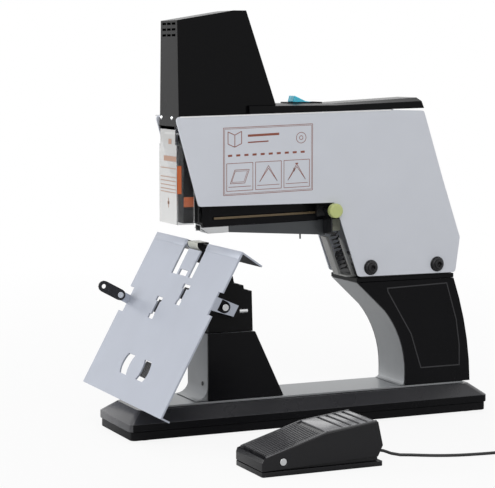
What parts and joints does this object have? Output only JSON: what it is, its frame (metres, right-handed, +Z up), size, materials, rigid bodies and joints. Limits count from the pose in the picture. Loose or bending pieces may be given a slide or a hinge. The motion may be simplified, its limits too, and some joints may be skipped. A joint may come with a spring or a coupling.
{
  "type": "electric saddle stapler",
  "caption": "Electric saddle stapler on a heavy base: tall solenoid head over a folding saddle table and stepped anvil block, with a wired foot pedal.",
  "frame": {"origin": "on the floor, under the middle of the box round the machine and its pedal, with the pedal's cord, coil and plug left out", "axes": "+X from the machine's front to its rear, +Y from the pedal's side to the far side, +Z up"},
  "size_m": [0.358, 0.3044, 0.3718],
  "materials": {
    "black_plastic": "satin",
    "pedal_plastic": "satin",
    "dark_steel": "satin",
    "base_steel": "matte",
    "rubber": "matte",
    "grey_aluminium": "satin",
    "magazine_steel": "satin",
    "plate_paint": "satin",
    "table_paint": "satin",
    "bright_steel": "bright",
    "plated_steel": "satin",
    "spring_wire": "satin",
    "clear_plastic": "clear",
    "lime_plastic": "gloss",
    "cyan_plastic": "gloss",
    "copper_winding": "satin",
    "circuit_board": "satin"
  },
  "bodies": {
    "machine": {"base_plate": "base_steel", "base_cover": "black_plastic", "foot_front_near": "rubber", "foot_front_far": "rubber", "foot_rear_near": "rubber", "foot_rear_far": "rubber", "frame_strip": "grey_aluminium", "frame_column": "grey_aluminium", "column_cover_near": "black_plastic", "column_cover_far": "black_plastic", "frame_arch": "grey_aluminium", "stand_rear": "black_plastic", "stand_cover_near": "black_plastic", "stand_cover_far": "black_plastic", "stand_ledge": "black_plastic", "mains_inlet": "black_plastic", "pedal_socket": "black_plastic", "anvil_block": "black_plastic", "anvil": "bright_steel", "catch_pin": "bright_steel", "side_plate_near": "plate_paint", "side_plate_far": "plate_paint", "head_mount": "dark_steel", "pivot_shaft": "bright_steel", "bolt_front": "dark_steel", "bolt_rear": "dark_steel", "bridge_plate": "plated_steel", "head_cover": "black_plastic", "guard_pin": "bright_steel", "switch_housing": "black_plastic", "solenoid_yoke": "plated_steel", "solenoid_coil": "copper_winding", "driver_guide": "black_plastic", "control_board": "circuit_board", "capacitor": "dark_steel", "spring_bracket": "bright_steel", "return_spring": "spring_wire", "pedal_base": "black_plastic", "pedal_pin": "bright_steel", "pedal_switch": "dark_steel", "strain_relief": "rubber", "pedal_cord": "rubber", "cord_coil": "rubber", "pedal_plug": "black_plastic"},
    "table": {"table_panel": "table_paint", "table_stud": "black_plastic"},
    "tab": {"pull_tab": "dark_steel"},
    "arm": {"arm_rail": "black_plastic", "magazine": "magazine_steel", "nose": "bright_steel", "staple_strip": "bright_steel", "spring_seat": "bright_steel"},
    "pusher": {"pusher": "plated_steel"},
    "slider": {"depth_slider": "dark_steel"},
    "knob": {"depth_knob": "lime_plastic"},
    "driver": {"driver_blade": "bright_steel", "plunger": "bright_steel"},
    "rocker": {"switch_rocker": "cyan_plastic"},
    "guard": {"guard": "clear_plastic"},
    "treadle": {"pedal_treadle": "pedal_plastic"}
  },
  "joints": [
    {"name": "table_tilt", "type": "hinge", "parent": "machine", "child": "table", "pos_m": [-0.0979, 0.0525, 0.1665], "axis": [0, 1, 0], "range_deg": [0, 61.3]},
    {"name": "tab_swing", "type": "hinge", "parent": "table", "child": "tab", "pos_m": [-0.1409, 0.1378, 0.1125], "axis": [0, 1, 0], "range_deg": [-20, 20]},
    {"name": "arm_clamp", "type": "hinge", "parent": "machine", "child": "arm", "pos_m": [0.079, 0.0525, 0.192], "axis": [0, -1, 0], "range_deg": [0, 0.85], "stiffness_Nm_per_rad": 10, "springref_deg": -3.44, "deforming": ["return_spring"]},
    {"name": "driver_stroke", "type": "slide", "parent": "machine", "child": "driver", "axis": [0, 0, -1], "range_m": [0, 0.012], "stiffness_N_per_m": 150, "springref_m": -0.015},
    {"name": "depth_slide", "type": "slide", "parent": "arm", "child": "slider", "axis": [-0.9998, 0, -0.0222], "range_m": [0, 0.1]},
    {"name": "knob_turn", "type": "hinge", "parent": "slider", "child": "knob", "pos_m": [0.02094, 0.0416, 0.19401], "axis": [0, 1, 0], "range_deg": [-180, 180]},
    {"name": "pusher_slide", "type": "slide", "parent": "arm", "child": "pusher", "axis": [0.9998, 0, 0.0222], "range_m": [0, 0.055], "stiffness_N_per_m": 20, "springref_m": -0.03},
    {"name": "switch_rock", "type": "hinge", "parent": "machine", "child": "rocker", "pos_m": [0.003, 0.0525, 0.285], "axis": [0, -1, 0], "range_deg": [0, 31]},
    {"name": "guard_flip", "type": "hinge", "parent": "machine", "child": "guard", "pos_m": [-0.1218, 0.0525, 0.2645], "axis": [0, 1, 0], "range_deg": [0, 100]},
    {"name": "pedal_press", "type": "hinge", "parent": "machine", "child": "treadle", "pos_m": [-0.11, -0.124, 0.0111], "axis": [0, 1, 0], "range_deg": [0, 2], "stiffness_Nm_per_rad": 1, "springref_deg": -3.44}
  ]
}
